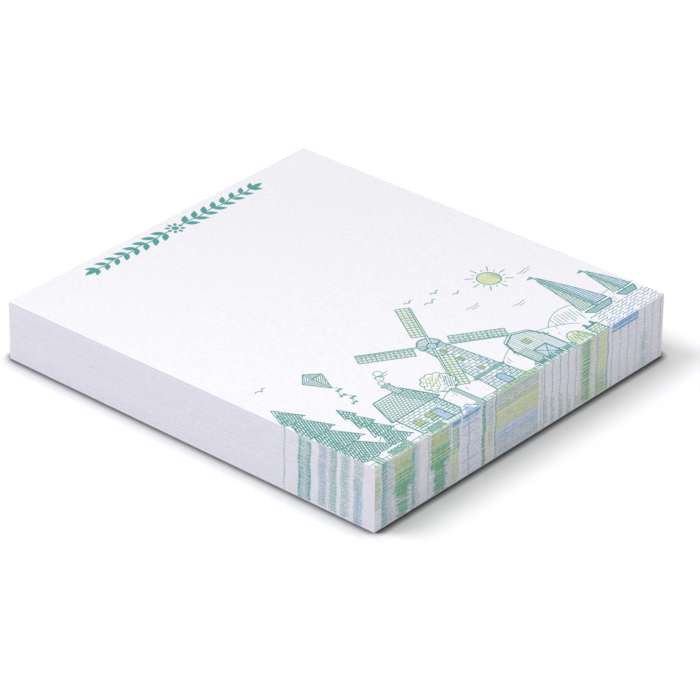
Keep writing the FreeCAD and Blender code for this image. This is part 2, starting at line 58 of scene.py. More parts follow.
# The stack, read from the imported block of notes
NOTE_COUNT = 100
block_low, block_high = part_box("note_block")
NOTE_WIDTH = block_high.x - block_low.x
NOTE_LENGTH = block_high.y - block_low.y
STACK_FOOT = block_low.z
FREE_TOP = block_high.z
BOUND_TOP = max(
    vertex.co.z
    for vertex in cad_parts["note_block"].data.vertices
    if vertex.co.y > block_high.y - 0.1 * MM
)
SHEET_SLACK = 0.035 * MM        # room in which a sheet may lie off the others
SHEET_WANDER = 0.018 * MM       # how far most sheets lie off the others
SHEET_BEVEL = 0.012 * MM        # cut edge of a sheet, how far its faces draw back
SHEET_ROUNDING = 0.3            # share of a sheet's thickness over which its edge draws back
SHEET_GAP = 0.04                # share of a sheet's thickness between it and the next
BUNDLE = 5.4                    # notes from one line on the sides to the next
BUNDLE_STEP = 0.045 * MM        # how far the first note of a bundle lies back

ARTWORK_WIDTH = 70.0
ARTWORK_LENGTH = ARTWORK_WIDTH * NOTE_LENGTH / NOTE_WIDTH
ART_SCALE = NOTE_WIDTH / (ARTWORK_WIDTH * MM)
INK_HEIGHTS = {"teal": 0.018 * MM, "green": 0.013 * MM, "blue": 0.009 * MM, "yellow": 0.005 * MM}
INK_UNEVENNESS = 0.004 * MM     # each stroke has a height of its own
INK_SUNK = 0.003 * MM           # ink starts a little below the paper's face
FINE, MIDDLE, BOLD = 0.10, 0.155, 0.24    # pen widths
SHORTEST = 0.03                 # shorter pen lines and strips are left out
GROUND = 1.0                    # height that the buildings stand at

rng = random.Random(7)


def share_height(y, share):
    """Height of a share of the stack, at y."""
    free, bound = FREE_TOP - STACK_FOOT, BOUND_TOP - STACK_FOOT
    fallen = (y - block_low.y) / NOTE_LENGTH
    return STACK_FOOT + share * (free * (1 - fallen) + bound * fallen)


def new_object(name, data):
    """A mesh, light or camera as an object of the scene."""
    item = bpy.data.objects.new(name, data)
    bpy.context.scene.collection.objects.link(item)
    return item


class MeshPiece:
    """Closed solids gathered in one mesh."""

    def __init__(self):
        self.places = []
        self.faces = []

    def add(self, places, faces):
        start = len(self.places)
        self.places += places
        self.faces += [tuple(start + corner for corner in face) for face in faces]

    def add_prism(self, lower, upper):
        """A solid between two outlines with as many corners, both counter-clockwise from above."""
        count = len(lower)
        sides = [(i, (i + 1) % count, count + (i + 1) % count, count + i) for i in range(count)]
        ends = [tuple(reversed(range(count))), tuple(range(count, 2 * count))]
        self.add(list(lower) + list(upper), sides + ends)

    def build(self, name, material, slot_name, replaced=()):
        mesh = bpy.data.meshes.new(name)
        mesh.from_pydata(self.places, [], self.faces)
        mesh.materials.append(material)
        mesh.validate()
        mesh.update()
        piece = new_object(name, mesh)
        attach(piece, "root")
        if replaced:
            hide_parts(*replaced)
        return piece


# Plane drawing

NEARLY_PARALLEL = 1e-12
NEARLY_SAME = 1e-6
UNSTEADY = 0.1                  # how far a hatching line strays, as a share of the spacing
masks = []                      # shapes that hide what is drawn later
quads = {ink: [] for ink in INK_HEIGHTS}    # four corners for each pen line
edge_marks = []                 # print that reaches the sides of the note


def crossings(start, end, shape):
    """Shares of the line from start to end at which it crosses the shape's outline."""
    found = []
    du, dv = end[0] - start[0], end[1] - start[1]
    for a, b in zip(shape, shape[1:] + shape[:1]):
        eu, ev = b[0] - a[0], b[1] - a[1]
        span = du * ev - dv * eu
        if abs(span) < NEARLY_PARALLEL:
            continue
        along = ((a[0] - start[0]) * ev - (a[1] - start[1]) * eu) / span
        across = ((a[0] - start[0]) * dv - (a[1] - start[1]) * du) / span
        if 0 <= along <= 1 and 0 <= across < 1:
            found.append(along)
    return found


def holds(shape, place):
    """Whether the shape holds the place."""
    inside = False
    u, v = place
    for (u0, v0), (u1, v1) in zip(shape, shape[1:] + shape[:1]):
        if (v0 > v) != (v1 > v) and u < u0 + (v - v0) * (u1 - u0) / (v1 - v0):
            inside = not inside
    return inside


def between(start, end, share):
    return (start[0] + (end[0] - start[0]) * share, start[1] + (end[1] - start[1]) * share)


def shown_stretches(start, end, inside_of=None):
    """The stretches of a line that no mask hides, and that lie on the note."""
    wanted = [rectangle(0, 0, ARTWORK_WIDTH, ARTWORK_LENGTH)] + ([inside_of] if inside_of else [])
    cuts = {0.0, 1.0}
    for shape in masks + wanted:
        cuts.update(crossings(start, end, shape))
    ordered = sorted(cuts)
    for low, high in zip(ordered, ordered[1:]):
        if high - low < NEARLY_SAME:
            continue
        middle = between(start, end, (low + high) / 2)
        if any(holds(shape, middle) for shape in masks):
            continue
        if all(holds(shape, middle) for shape in wanted):
            yield between(start, end, low), between(start, end, high)


def pen_line(start, end, width):
    """Corners of a straight line with a width."""
    length = math.hypot(end[0] - start[0], end[1] - start[1])
    du = (end[0] - start[0]) / length * width / 2
    dv = (end[1] - start[1]) / length * width / 2
    return [
        (start[0] + dv, start[1] - du), (end[0] + dv, end[1] - du),
        (end[0] - dv, end[1] + du), (start[0] - dv, start[1] + du),
    ]


def stroke(ink, start, end, width=MIDDLE, inside_of=None):
    """A straight pen line, less what a mask hides."""
    for a, b in shown_stretches(start, end, inside_of):
        if math.dist(a, b) >= SHORTEST:
            quads[ink].append(pen_line(a, b, width))


def path(ink, places, width=MIDDLE, closed=False):
    """A pen line through many places."""
    ends = places[1:] + (places[:1] if closed else [])
    for start, end in zip(places, ends):
        stroke(ink, start, end, width)


def outline(places, width=MIDDLE, ink="teal"):
    path(ink, places, width, closed=True)


def hide(places):
    """What is drawn from here on lies behind this shape."""
    masks.append(list(places))


def draw_opaque(places, width=MIDDLE, ink="teal"):
    """Outlines a shape that hides what is drawn from here on."""
    outline(places, width, ink)
    hide(places)


def hatch(ink, shape, angle, spacing, width=FINE, ragged=0.0):
    """Parallel pen lines that fill a shape. Their ends may be ragged."""
    turn = math.radians(angle)
    along = (math.cos(turn), math.sin(turn))
    aside = (-along[1], along[0])
    sides = [u * aside[0] + v * aside[1] for u, v in shape]
    reach = [u * along[0] + v * along[1] for u, v in shape]
    low, high = min(reach) - 1, max(reach) + 1
    line = min(sides) + spacing / 2
    while line < max(sides):
        offset = line + rng.uniform(-UNSTEADY, UNSTEADY) * spacing
        start = (along[0] * low + aside[0] * offset, along[1] * low + aside[1] * offset)
        end = (along[0] * high + aside[0] * offset, along[1] * high + aside[1] * offset)
        cuts = sorted(crossings(start, end, shape))
        for first, last in zip(cuts[::2], cuts[1::2]):
            rng.random()        # not used, but every later draw depends on it
            first += ragged * rng.random() / (high - low)
            last -= ragged * rng.random() / (high - low)
            if last > first:
                stroke(ink, between(start, end, first), between(start, end, last), width)
        line += spacing


def polar(u, v, out, turn, flat=1.0):
    """The place at a distance and an angle from (u, v)."""
    return (u + out * math.cos(turn), v + out * flat * math.sin(turn))


def arc(u, v, radius, start=0.0, sweep=360.0, steps=24, flat=1.0):
    """Places along an arc, or along an ellipse where flat isn't 1."""
    whole = abs(sweep) >= 360
    last = steps if whole else steps + 1
    turns = [math.radians(start + sweep * step / steps) for step in range(last)]
    return [polar(u, v, radius, turn, flat) for turn in turns]


def wavy(start_u, end_u, height, swing, wave, phase=0.0, step=0.3):
    """Places along a wave that runs to the right."""
    steps = max(2, int((end_u - start_u) / step))
    places = []
    for number in range(steps + 1):
        u = start_u + (end_u - start_u) * number / steps
        places.append((u, height + swing * math.sin(2 * math.pi * u / wave + phase)))
    return places


def rectangle(left, low, right, top):
    return [(left, low), (right, low), (right, top), (left, top)]


def scallops(u, v, radius, bumps, depth):
    """A round outline with bumps, like a leafy crown."""
    steps = bumps * 6
    turns = [2 * math.pi * step / steps for step in range(steps)]
    return [polar(u, v, radius + depth * abs(math.sin(turn * bumps / 2)), turn) for turn in turns]


def mark(ink, start, end, strength, low=0.0, high=1.0, whisker=0.0, side="front"):
    """Print that reaches a side of the note, and the shares of the stack's height that show it.
    whisker is how far its ends straggle."""
    edge_marks.append((side, ink, start, end, low, high, strength, whisker))


def marks(start, end, *rows):
    """Marks over one stretch: each row has an ink and what mark takes after the stretch."""
    for ink, *shown in rows:
        mark(ink, start, end, *shown)


# Print at the left edge for each tier of a pine, from the lowest: its ink, where it starts and ends
# as shares of the tier, its strength, and the shares of the stack's height that show it if not all
TIER_MARKS = (
    (
        ("blue", 0.04, 0.38, 0.44, 0.0, 0.68),
        ("green", 0.0, 0.42, 0.2, 0.5, 1.0),
        ("teal", 0.0, 0.42, 0.14),
        ("green", 0.6, 0.76, 0.26),
        ("teal", 0.72, 1.0, 0.3),
    ),
    (
        ("teal", 0.0, 0.4, 0.36),
        ("green", 0.0, 0.32, 0.18),
        ("teal", 0.4, 0.6, 0.1),
        ("blue", 0.6, 1.0, 0.24),
        ("teal", 0.6, 1.0, 0.2),
    ),
    (
        ("teal", 0.0, 0.38, 0.52),
        ("green", 0.0, 0.5, 0.14, 0.0, 0.8),
        ("teal", 0.38, 0.58, 0.18),
        ("teal", 0.58, 1.0, 0.48),
        ("blue", 0.5, 1.0, 0.14, 0.0, 0.45),
    ),
    (("teal", 0.0, 1.0, 0.36),),
)


def draw_pine(middle, reach, height, trunk, tiers=4, narrowest=0.3, gap=0.35):
    foot = 2 * GROUND
    tier_height = (height - foot) / tiers
    for tier in reversed(range(tiers)):
        base = foot + tier * tier_height
        top = min(base + tier_height * 1.25, height)
        wide = reach * (tiers - tier * (1 - narrowest)) / tiers
        narrow = wide * narrowest * 0.7 if tier < tiers - 1 else 0.02
        teeth = 5
        lower = []
        for tooth in range(teeth * 2 + 1):
            u = middle - wide + 2 * wide * tooth / (teeth * 2)
            lower.append((u, base + (gap if tooth % 2 else 0) + gap * abs(u - middle) / wide))
        tip_left, tip, tip_right = (middle - narrow, top), (middle, top), (middle + narrow, top)
        tier_shape = lower + [tip_right, tip_left]
        hatch("teal", tier_shape, 62, 0.42, BOLD * 0.9, ragged=0.3)
        shade = [place for place in lower if place[0] >= middle] + [tip_right, tip]
        hatch("teal", shade, -58, 0.48, ragged=0.4)
        light = [place for place in lower if place[0] <= middle] + [tip, tip_left]
        hatch("green", light, 90, 0.5, MIDDLE, ragged=0.8)
        hatch("blue", light, 15, 0.7, ragged=0.6)
        draw_opaque(tier_shape)
        if wide > middle > narrow:
            crossing = base + (top - base) * (wide - middle) / (wide - narrow)
            span = crossing - base - gap
            start = base + gap
            for ink, near, far, *shown in TIER_MARKS[tier]:
                mark(ink, start + near * span, start + far * span, *shown, side="left")
    half = trunk / 2
    left, right = middle - half, middle + half
    for u in (left, middle, right):
        stroke("teal", (u, 0), (u, foot + gap))
    trunk_shape = rectangle(left, 0, right, foot + gap)
    hatch("green", trunk_shape, 20, 0.3)
    hide(trunk_shape)
    marks(left, right, ("teal", 0.5), ("green", 0.35))
    marks(right, middle + trunk * 1.3, ("teal", 0.16), ("blue", 0.18))


def draw_window(left, sill, width, height):
    shape = rectangle(left, sill, left + width, sill + height)
    outline(shape)
    stroke("teal", (left + width / 2, sill), (left + width / 2, sill + height), FINE)
    stroke("teal", (left, sill + height / 2), (left + width, sill + height / 2), FINE)
    hatch("yellow", shape, 45, 0.2, BOLD)
    hide(shape)


def draw_bricks(shape, course, brick):
    """Level courses with staggered joints, inside a shape."""
    low, high = min(v for _, v in shape), max(v for _, v in shape)
    left, right = min(u for u, _ in shape), max(u for u, _ in shape)
    row, height = 0, low + course
    while height < high + course:
        stroke("teal", (left, height), (right, height), FINE, inside_of=shape)
        joint = left + brick / 2 * (row % 2)
        while joint < right:
            stroke("teal", (joint, height - course), (joint, height), FINE, inside_of=shape)
            joint += brick
        row += 1
        height += course


def draw_cottage(left=12.4, width=9.4, wall=5.6, eaves=0.8, roof=5.8, hip=2.3):
    right, top = left + width, GROUND + wall
    ridge = top + roof
    door_width, door_height, window = 1.7, 3.4, 1.5
    door_left = left + width * 2 / 3 - door_width / 2
    door = rectangle(door_left, GROUND, door_left + door_width, GROUND + door_height)
    outline(door, BOLD)
    hatch("blue", door, 90, 0.3, MIDDLE)
    knob = arc(door_left + door_width * 0.8, GROUND + door_height / 2, 0.12, steps=8)
    outline(knob, FINE)
    hide(door)
    sill = GROUND + door_height - window
    for window_left in (left + window * 0.8, left + 2.7 * window):
        draw_window(window_left, sill, window, window)
        window_right = window_left + window
        flower_box = rectangle(window_left - 0.2, sill - 0.55, window_right + 0.2, sill - 0.15)
        draw_opaque(flower_box, ink="green")
    wall_shape = rectangle(left, GROUND, right, top)
    draw_bricks(wall_shape, 0.62, 1.25)
    outline(wall_shape, BOLD)
    shade = rectangle(right - width * 0.16, GROUND, right, top)
    hatch("teal", shade, 60, 0.34)
    hide(wall_shape)
    chimney_right, chimney_top = right + eaves - hip - 0.3, ridge + 2.0
    chimney = rectangle(chimney_right - 1.3, ridge - 0.8, chimney_right, chimney_top)
    draw_bricks(chimney, 0.42, 0.6)
    outline(chimney)
    cap = rectangle(chimney_right - 1.55, chimney_top, chimney_right + 0.25, ridge + 2.35)
    outline(cap)
    hide(chimney)
    hide(cap)
    eaves_left, eaves_right = left - eaves, right + eaves
    roof_shape = [
        (eaves_left, top), (eaves_right, top),
        (eaves_right - hip, ridge), (eaves_left + hip, ridge),
    ]
    rows, tile_width = 11, 0.64
    for row in range(1, rows):
        height = top + roof * row / rows
        stroke("teal", (eaves_left, height), (eaves_right, height), FINE, inside_of=roof_shape)
        tile = eaves_left + (tile_width / 2 if row % 2 else 0)
        while tile < eaves_right:
            stroke("green", (tile, height - roof / rows), (tile, height), inside_of=roof_shape)
            tile += tile_width
    outline(roof_shape, BOLD)
    low_left, low_right, high_right, high_left = roof_shape
    ridge_end, eaves_end = between(high_right, high_left, 0.4), between(low_right, low_left, 0.25)
    hatch("teal", [low_right, high_right, ridge_end, eaves_end], 68, 0.36)
    hide(roof_shape)
    smoke_u, smoke_v = chimney_right - 0.6, ridge + 3.0
    for puff in range(3):
        cloud = scallops(smoke_u + puff * 0.9, smoke_v + puff * 1.15, 0.42 + 0.13 * puff, 6, 0.16)
        outline(cloud, FINE)
    door_right = door_left + door_width
    mark("teal", left - 0.12, left + 0.12, 0.45)
    mark("teal", right - 0.12, right + 0.15, 0.5)
    marks(door_left, door_right, ("yellow", 0.5, 0.0, 0.5), ("green", 0.12, 0.0, 0.5))
    mark("green", door_left + 0.2, door_right, 0.4, 0.5, 0.92)
    mark("blue", door_left, door_right + 0.3, 0.85, 0.9, 1.0)


def draw_round_tree(middle=25.4, radius=2.9, height=12.0, trunk=0.9):
    crown = height - radius
    half = trunk / 2
    trunk_shape = rectangle(middle - half, 0, middle + half, crown - radius * 0.5)
    shape = scallops(middle, crown, radius * 0.9, 11, radius * 0.13)
    for ring, share in enumerate((0.3, 0.55, 0.78)):
        bumps = 5 + 4 * ring
        for bump in range(bumps):
            turn = 360 * (bump + 0.3 * ring) / bumps
            u, v = polar(middle, crown, radius * share, math.radians(turn))
            path("green", arc(u, v, radius * 0.13, 190, 160, 5), FINE)
    shadow = arc(middle, crown, radius * 0.86, -100, 150, 14)
    hatch("teal", shadow, 50, 0.36, ragged=0.5)
    light = arc(middle - radius * 0.25, crown + radius * 0.25, radius * 0.5, steps=14)
    hatch("yellow", light, 50, 0.5, MIDDLE)
    draw_opaque(shape)
    outline(trunk_shape)
    hatch("teal", trunk_shape, 90, 0.26)
    hide(trunk_shape)
    mark("green", middle - half, middle + half, 0.5)
    mark("teal", middle - half * 0.6, middle + half, 0.36)
    mark("yellow", middle + half * 1.6, middle + half * 5, 0.4, 0.0, 0.7)
    mark("blue", middle + half * 1.4, middle + half * 5, 0.2, 0.62, 1.0)
    mark("green", middle + half * 2.4, middle + half * 5, 0.22, 0.2, 0.9)


def draw_sail(hub_u, hub_v, turn, ink, root=3.2, tip=12.4, width=2.3, bars=13):
    """A windmill's sail: a spar with a lattice at its side."""
    along_u, along_v = math.cos(turn), math.sin(turn)

    def on_sail(out, side):
        return (hub_u + along_u * out - along_v * side, hub_v + along_v * out + along_u * side)

    cloth = [on_sail(root, 0), on_sail(tip, 0), on_sail(tip, width), on_sail(root, width)]
    spar = [on_sail(0, -0.2), on_sail(tip, -0.14), on_sail(tip, 0.14), on_sail(0, 0.2)]
    outline(spar)
    for bar in range(bars):
        out = root + (tip - root) * bar / (bars - 1)
        stroke("teal", on_sail(out, 0), on_sail(out, width), MIDDLE if bar % 4 == 0 else FINE)
    for rail, pen in ((0.33, FINE), (0.66, FINE), (1.0, MIDDLE)):
        stroke("teal", on_sail(root, width * rail), on_sail(tip, width * rail), pen)
    spacing, pen = (0.4, FINE) if ink == "green" else (0.5, MIDDLE)
    hatch(ink, cloth, math.degrees(turn) + 45, spacing, pen)
    hide(spar)
    hide(cloth)


def draw_windmill(middle=33.2, foot=3.5, neck=1.9, tower=16.0, cap=2.6):
    top = GROUND + tower
    hub_radius, lean = 0.8, 33.0
    hub_shape = arc(middle, top, hub_radius, steps=18)
    outline(hub_shape, BOLD)
    outline(arc(middle, top, hub_radius * 0.45, steps=12))
    hide(hub_shape)
    for sail, ink in enumerate(("yellow", "green", "yellow", "green")):
        draw_sail(middle, top, math.radians(90 - lean - 90 * sail), ink)
    foot_left, foot_right = (middle - foot, GROUND), (middle + foot, GROUND)
    top_left, top_right = (middle - neck, top), (middle + neck, top)
    tower_shape = [foot_left, foot_right, top_right, top_left]
    door = [(middle - 0.8, GROUND), (middle + 0.8, GROUND), (middle + 0.8, GROUND + 2.2)]
    door += arc(middle, GROUND + 2.2, 0.8, 0, 180, 10)[1:]
    outline(door, BOLD)
    hatch("blue", door, 90, 0.28, MIDDLE)
    hide(door)
    for height in (5.6, 9.6, 13.0):
        draw_window(middle - 0.45, GROUND + height, 0.9, 1.1)
    gallery = rectangle(middle - foot * 0.98, GROUND + 4.3, middle + foot * 0.98, GROUND + 4.75)
    hatch("teal", gallery, 90, 0.3, MIDDLE)
    draw_opaque(gallery)
    draw_bricks(tower_shape, 0.72, 1.3)
    light = [foot_left, (middle - foot * 0.3, GROUND), (middle - neck * 0.3, top), top_left]
    shade = [(middle + foot * 0.35, GROUND), foot_right, top_right, (middle + neck * 0.35, top)]
    hatch("blue", light, 80, 0.5)
    hatch("teal", shade, 75, 0.42)
    outline(tower_shape)
    brim = neck * 1.15
    dome = arc(middle, top, brim, 180, -180, 14, flat=cap / neck * 0.85)
    cap_shape = [(middle - brim, top)] + dome[1:]
    hatch("teal", cap_shape, 90, 0.34)
    outline(cap_shape, BOLD)
    hide(tower_shape)
    hide(cap_shape)


def draw_barn(left=40.2, width=7.6, wall=5.0, roof=4.0):
    right, middle, eaves = left + width, left + width / 2, GROUND + wall
    ridge = eaves + roof
    bend, shoulder = (eaves + 2 * ridge) / 3, width / 8
    front = [
        (left, GROUND), (right, GROUND), (right, eaves), (right - shoulder, bend),
        (middle, ridge), (left + shoulder, bend), (left, eaves),
    ]
    door_left = middle - 1.5
    door = rectangle(door_left, GROUND, middle + 1.5, GROUND + 3.4)
    outline(door, BOLD)
    stroke("teal", door[0], door[2])
    stroke("teal", door[1], door[3])
    hatch("blue", door, 90, 0.32)
    hide(door)
    draw_window(middle - 0.65, eaves + 0.3, 1.3, 1.3)
    hatch("teal", front, 90, 0.42)
    hatch("green", rectangle(left, GROUND, door_left, eaves), 0, 0.45)
    outline(front, BOLD)
    rim = [(u, v + 0.5) for u, v in front[2:]]
    path("teal", [(right + 0.4, eaves - 0.1)] + rim + [(left - 0.4, eaves - 0.1)])
    hide(front)


def draw_haystack(middle=50.4, radius=1.9):
    left, right = middle - radius, middle + radius
    shape = [(left, 0)] + arc(middle, radius * 0.6, radius, 180, -180, 16, flat=1.35) + [(right, 0)]
    hatch("yellow", shape, 80, 0.3, MIDDLE, ragged=0.6)
    hatch("green", shape, 68, 0.55, ragged=1.2)
    hatch("teal", shape, 100, 0.9, ragged=1.4)
    draw_opaque(shape)
    mark("yellow", left, right, 0.35, whisker=0.3)
    mark("green", middle - radius / 2, middle + radius / 2, 0.5, whisker=0.4)


def draw_quay(left=53.2, width=2.6, top=2.6):
    right = left + width
    shape = rectangle(left, 0, right, top)
    draw_bricks(shape, 0.6, 1.0)
    hatch("yellow", shape, 45, 0.42, MIDDLE)
    draw_opaque(shape, BOLD)
    for post in (left + 0.5, right - 0.5):
        bollard = rectangle(post - 0.22, top, post + 0.22, top + 0.9)
        hatch("teal", bollard, 90, 0.16)
        draw_opaque(bollard)
    marks(left, right, ("yellow", 0.5), ("green", 0.3, 0.0, 0.35))
    mark("teal", left - 0.1, left + 0.1, 0.6)
    mark("teal", right - 0.1, right + 0.15, 0.6)


def draw_boat(middle, length, mast, water=4.45, hull=1.3):
    deck, half = water + hull, length / 2
    hull_shape = [
        (middle - half * 0.6, water), (middle + half * 0.6, water),
        (middle + half, deck), (middle - half * 0.95, deck),
    ]
    hatch("teal", hull_shape, 0, 0.26)
    hatch("blue", hull_shape, 90, 0.5, MIDDLE)
    draw_opaque(hull_shape, BOLD)
    peak = deck + mast
    stroke("teal", (middle, deck), (middle, peak + 0.5), BOLD)
    clew, head = (middle + half * 0.95, deck + 0.6), (middle + 0.35, peak - 0.3)
    fore, steps, belly = [(middle + 0.35, deck + 0.5)], 9, 0.28
    for step in range(steps):
        u, v = between(clew, head, step / (steps - 1))
        fore.append((u + belly * math.sin(math.pi * (step + 1) / steps), v))
    luff = middle - 0.3
    aft = [(luff, deck + 0.5), (luff, peak - 1.2), (middle - half * 0.9, deck + 0.8)]
    hatch("blue", fore, 0, 0.42, MIDDLE)
    hatch("teal", fore, 90, 0.5)
    outline(fore)
    hatch("green", aft, 0, 0.4)
    hatch("teal", aft, 70, 0.5)
    outline(aft)
    pennant = [(middle, peak + 0.5), (middle - 1.1, peak + 0.15), (middle, peak - 0.2)]
    hatch("green", pennant, 0, 0.16)
    outline(pennant, FINE)
    hide(fore)
    hide(aft)


def draw_water(start=56.2, rows=7, pitch=0.6):
    for row in range(rows):
        height = 0.35 + pitch * row
        u = start + 0.5 * (row % 3)
        while u < ARTWORK_WIDTH + 1:
            reach = rng.uniform(1.6, 3.4)
            ink = rng.choice(["blue", "teal", "blue", "green"])
            pen = FINE if ink == "teal" else MIDDLE
            path(ink, wavy(u, u + reach, height, 0.13, 1.15, row), pen)
            u += reach + rng.uniform(0.2, 0.8)
        mark("blue", height - 0.12, height + 0.16, 0.5, side="right")
    for number in range(7):
        u = start + 0.6 + number * 2.05
        mark("blue" if number % 2 else "teal", u, u + 0.26, 0.32)
    mark("blue", start + 0.6, start + 7.2, 0.65, 0.88, 1.0)
    mark("green", start + 8.0, start + 10.4, 0.12, 0.0, 0.6)


def draw_hills():
    """Low hills behind everything, with hatching down their slopes."""
    foot, steps = 4.2, 24
    for start, end, height, ink in (
        (35.0, 54.0, 8.2, "green"),
        (47.0, 63.0, 9.4, "teal"),
        (58.0, 73.0, 7.6, "green"),
        (20.5, 31.0, 6.4, "green"),
        (6.0, 14.5, 6.0, "green"),
    ):
        crest = []
        for step in range(steps + 1):
            share = step / steps
            rise = math.sin(math.pi * share) ** 0.8
            crest.append((start + (end - start) * share, foot + (height - foot) * rise))
        path("teal", crest, FINE)
        shape = crest + [(end, foot), (start, foot)]
        hatch(ink, shape, 74, 0.62, ragged=2.2)
        hide(shape)


def draw_sun(middle=55.6, height=24.0, radius=2.0, reach=3.9, rays=16):
    disc = arc(middle, height, radius, steps=28)
    hatch("yellow", disc, 0, 0.34, BOLD)
    hatch("teal", arc(middle, height, radius * 0.96, -60, 120, 14), 0, 0.34)
    outline(disc)
    near = radius + 0.45
    for ray in range(rays):
        turn = 2 * math.pi * ray / rays
        ink, far = ("green", (radius + reach) / 2) if ray % 2 else ("teal", reach)
        stroke(ink, polar(middle, height, near, turn), polar(middle, height, far, turn))


def draw_kite(middle=13.4, top=26.2, span=4.4, drop=6.0):
    half, shoulder, foot = span / 2, top - drop / 3, top - drop
    shape = [(middle, top), (middle + half, shoulder), (middle, foot), (middle - half, shoulder)]
    head, right, tip, left = shape
    cross = (middle, shoulder)
    hatch("teal", [head, right, cross], 0, 0.26)
    hatch("green", [cross, right, tip], 45, 0.34, MIDDLE)
    hatch("blue", [head, cross, left], 45, 0.34, MIDDLE)
    hatch("teal", [left, cross, tip], 0, 0.26)
    outline(shape)
    stroke("teal", head, tip, FINE)
    stroke("teal", right, left, FINE)
    tail = []
    for step in range(19):
        tail.append((middle + 0.55 * math.sin(step * 0.62) - 0.02 * step, foot - 0.3 * step))
    path("teal", tail, FINE)
    for knot in (4, 9, 14, 18):
        u, v = tail[knot]
        for way in (-1, 1):
            bow = [(u, v), (u + way * 0.55, v + 0.26), (u + way * 0.55, v - 0.26)]
            hatch("green", bow, 0, 0.18)
            outline(bow, FINE)


def draw_birds():
    shares = (0, 0.2, 0.4, 0.6, 0.8, 1.0)
    arch = [(share, 0.55 * math.sin(math.pi * 0.75 * share)) for share in shares]
    for u, v, wing in (
        (43.6, 25.6, 1.3),
        (46.4, 27.2, 1.0),
        (41.2, 28.3, 0.9),
        (48.6, 24.6, 0.8),
        (5.6, 27.4, 1.1),
    ):
        for way in (-1, 1):
            path("teal", [(u + way * wing * out, v + wing * rise) for out, rise in arch])


def draw_breeze():
    for u, v, length in (
        (19.6, 17.2, 3.2),
        (59.6, 21.6, 3.4),
        (51.2, 15.4, 2.8),
        (45.4, 20.2, 3.0),
    ):
        path("teal", wavy(u, u + length, v, 0.1, length), FINE)
        path("green", wavy(u + 0.7, u + length * 0.8, v - 0.55, 0.08, length), FINE)


def draw_hedge(left, width=3.8, height=1.7):
    right = left + width
    bumps = 5
    crest = []
    for bump in range(bumps):
        middle = right - width * (bump + 0.5) / bumps
        crest += arc(middle, height - 0.35, width / bumps / 2, 0, 180, 5)
    shape = [(left, 0), (right, 0)] + crest
    hatch("green", shape, 60, 0.26, MIDDLE, ragged=0.3)
    hatch("teal", shape, -50, 0.4, ragged=0.5)
    path("teal", crest)
    hide(shape)
    third = width * 0.28
    marks(
        left, right,
        ("yellow", 0.7, 0.45, 1.0, 0.4),
        ("green", 0.24, 0.7, 1.0, 0.5),
        ("green", 0.5, 0.42, 0.75, 0.5),
    )
    mark("teal", left + 0.4, right - 0.4, 0.2, 0.42, 0.56, 0.4)
    marks(left + third, right - third, ("green", 0.9, 0.0, 0.5, 1.0), ("teal", 0.12, 0.0, 0.2, 0.8))
    mark("blue", left, right, 0.1, 0.0, 0.5, 0.5)


def draw_meadow(left=28.2, width=10.4):
    right = left + width
    shape = rectangle(left, 0, right, GROUND - 0.1)
    hatch("green", shape, 90, 0.24, ragged=0.5)
    hatch("yellow", shape, 0, 0.3, MIDDLE)
    marks(
        left, right,
        ("green", 0.22, 0.7, 1.0),
        ("teal", 0.08, 0.86, 1.0),
        ("yellow", 0.2, 0.7, 1.0),
        ("yellow", 0.5, 0.42, 0.8),
        ("green", 0.1, 0.42, 0.66),
        ("blue", 0.25, 0.0, 0.42),
        ("green", 0.1, 0.0, 0.3),
    )
    mark("teal", left - 0.12, left + 0.1, 0.8)


def draw_brook(left=20.3, width=4.2, height=1.9):
    """A brook that comes to the free edge between the cottage and the tree."""
    right = left + width
    left_bank = [(left, 0), (left + 0.9, height * 0.6), (left + 1.6, height)]
    right_bank = [(right, 0), (right - 0.9, height * 0.6), (right - 1.3, height)]
    shape = left_bank[:1] + right_bank + left_bank[:0:-1]
    hatch("blue", shape, 0, 0.3, MIDDLE, ragged=0.9)
    hatch("teal", shape, 2, 0.5, ragged=1.6)
    path("teal", left_bank)
    path("teal", right_bank)
    hide(shape)
    mark("blue", left, right, 0.75, 0.89, 1.0)
    for share in (0.24, 0.45, 0.66, 0.8):
        mark("blue", left, right, 0.6, share, share + 0.018)
    mark("blue", left, right, 0.06, 0.0, 0.89)


def draw_fence(left=40.0, posts=5, pitch=1.95, height=2.0):
    for post in range(posts):
        u = left + post * pitch
        post_shape = rectangle(u - 0.2, 0, u + 0.2, height - 0.3)
        post_shape.insert(3, (u, height))
        draw_opaque(post_shape)
        mark("teal", u - 0.14, u + 0.14, 0.38)
        mark("green", u + 0.1, u + 0.9, 0.2, 0.0, 0.5 - 0.08 * post)
    rail_left, rail_right = left - 0.8, left + posts * pitch - 1.2
    for rail in (0.7, 1.35):
        stroke("teal", (rail_left, rail), (rail_right, rail))
        stroke("teal", (rail_left, rail + 0.22), (rail_right, rail + 0.22), FINE)


def draw_grass():
    """Tufts along the free edge, in the gaps between the other things."""
    u = 0.2
    while u < 56.0:
        height = rng.uniform(0.4, 1.1)
        ink = rng.choice(["green", "teal", "green"])
        stroke(ink, (u, 0), (u + rng.uniform(-0.3, 0.3), height), FINE)
        u += rng.uniform(0.18, 0.5)
    marks(0.0, 1.4, ("yellow", 0.5, 0.5, 1.0), ("green", 0.2, 0.3, 0.8))
    for u in (3.9, 10.0, 17.3, 39.2, 52.7):
        mark("green", u, u + 0.26, 0.3)
    path("teal", wavy(0, 53.0, GROUND, 0.06, 5.0), FINE)


